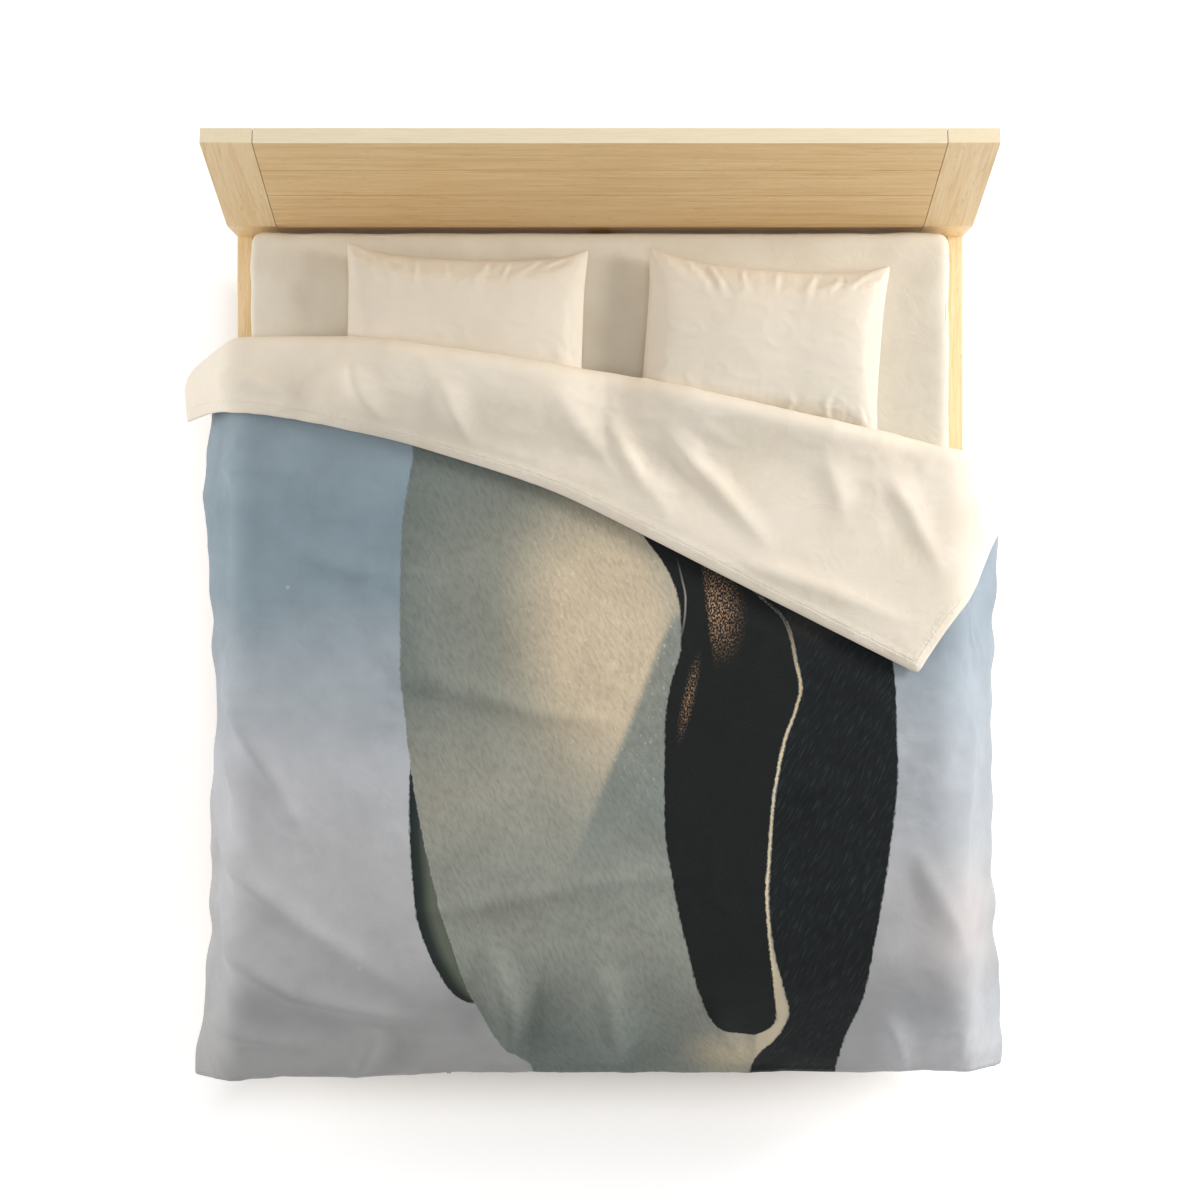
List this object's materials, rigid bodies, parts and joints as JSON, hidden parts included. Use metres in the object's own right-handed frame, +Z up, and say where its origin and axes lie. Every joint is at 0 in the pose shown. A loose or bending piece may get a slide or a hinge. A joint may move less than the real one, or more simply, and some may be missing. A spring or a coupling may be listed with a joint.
{
  "type": "made bed with pillows and duvet",
  "caption": "Made king-size wooden bed: leaning plank headboard, slatted frame, mattress, fitted sheet, two pillows and a thick printed duvet turned back on a slant.",
  "frame": {"origin": "on the floor under the middle of the mattress, at the contact face of the middle levelling foot", "axes": "+Z up, +Y from the foot of the bed to the headboard, +X to the right when looking from the foot"},
  "size_m": [2.3753, 2.5746, 1.1198],
  "materials": {
    "maple": "satin lacquer",
    "pine": "planed, unfinished",
    "zinc_screw": "zinc plated",
    "bracket_steel": "black powder coat",
    "foot_plastic": "matt",
    "pocket_fabric": "non-woven",
    "foam": "open-cell foam",
    "binding_tape": "woven tape",
    "ticking": "quilted knit",
    "sheet_cotton": "plain weave",
    "pillowcase_cotton": "plain weave",
    "pillow_ticking": "downproof weave",
    "insert_ticking": "downproof weave",
    "printed_cotton": "printed plain weave",
    "cream_cotton": "plain weave",
    "zip_tape": "woven tape",
    "zip_metal": "satin nickel"
  },
  "bodies": {
    "bed_frame": {"bracket_foot_left": "bracket_steel", "bracket_foot_right": "bracket_steel", "bracket_head_left": "bracket_steel", "bracket_head_right": "bracket_steel", "bracket_screws": "zinc_screw", "centre_beam": "pine", "centre_leg_foot": "pine", "centre_leg_head": "pine", "centre_leg_middle": "pine", "corner_leg_left": "maple", "corner_leg_right": "maple", "foot_rail": "maple", "head_rail": "maple", "headboard_batten_left": "maple", "headboard_batten_right": "maple", "headboard_board_bottom": "maple", "headboard_board_middle": "maple", "headboard_board_top": "maple", "headboard_lower_panel": "maple", "headboard_post_left": "maple", "headboard_post_right": "maple", "side_rail_left": "maple", "side_rail_right": "maple", "slat_01": "pine", "slat_02": "pine", "slat_03": "pine", "slat_04": "pine", "slat_05": "pine", "slat_06": "pine", "slat_07": "pine", "slat_08": "pine", "slat_09": "pine", "slat_10": "pine", "slat_11": "pine", "slat_12": "pine", "slat_ledger_left": "pine", "slat_ledger_right": "pine"},
    "levelling_foot_foot": {"levelling_foot_foot": "foot_plastic"},
    "levelling_foot_middle": {"levelling_foot_middle": "foot_plastic"},
    "levelling_foot_head": {"levelling_foot_head": "foot_plastic"},
    "mattress": {"mattress_base_pad": "foam", "mattress_comfort_layer": "foam", "mattress_cover": "ticking", "mattress_edge_foam": "foam", "mattress_pocket_grid": "pocket_fabric", "mattress_tape_lower": "binding_tape", "mattress_tape_upper": "binding_tape", "fitted_sheet": "sheet_cotton"},
    "pillow_left": {"pillow_left_case": "pillowcase_cotton", "pillow_left_fill": "pillow_ticking"},
    "pillow_right": {"pillow_right_case": "pillowcase_cotton", "pillow_right_fill": "pillow_ticking"},
    "duvet": {"duvet_cover_back": "cream_cotton", "duvet_cover_face": "printed_cotton", "duvet_insert": "insert_ticking", "duvet_zip_tape": "zip_tape"},
    "zip_slider": {"duvet_zip_slider": "zip_metal"},
    "zip_tab": {"duvet_zip_tab": "zip_metal"}
  },
  "joints": [
    {"name": "mattress_lift", "type": "slide", "parent": "bed_frame", "child": "mattress", "axis": [0, 0, 1], "range_m": [0, 0.35]},
    {"name": "duvet_lift", "type": "slide", "parent": "mattress", "child": "duvet", "axis": [0, 0, 1], "range_m": [0, 0.4]},
    {"name": "pillow_left_shift", "type": "slide", "parent": "mattress", "child": "pillow_left", "axis": [0, 1, 0], "range_m": [0, 0.04]},
    {"name": "pillow_right_shift", "type": "slide", "parent": "mattress", "child": "pillow_right", "axis": [0, 1, 0], "range_m": [0, 0.05]},
    {"name": "zip_slide", "type": "slide", "parent": "duvet", "child": "zip_slider", "axis": [1, 0, 0], "range_m": [0, 0.86]},
    {"name": "zip_tab_swing", "type": "hinge", "parent": "zip_slider", "child": "zip_tab", "pos_m": [-0.43, -1.3454, 0.4218], "axis": [-1, 0, 0], "range_deg": [0, 150]},
    {"name": "levelling_foot_foot_screw", "type": "slide", "parent": "bed_frame", "child": "levelling_foot_foot", "axis": [0, 0, -1], "range_m": [0, 0.015]},
    {"name": "levelling_foot_middle_screw", "type": "slide", "parent": "bed_frame", "child": "levelling_foot_middle", "axis": [0, 0, -1], "range_m": [0, 0.015]},
    {"name": "levelling_foot_head_screw", "type": "slide", "parent": "bed_frame", "child": "levelling_foot_head", "axis": [0, 0, -1], "range_m": [0, 0.015]}
  ]
}
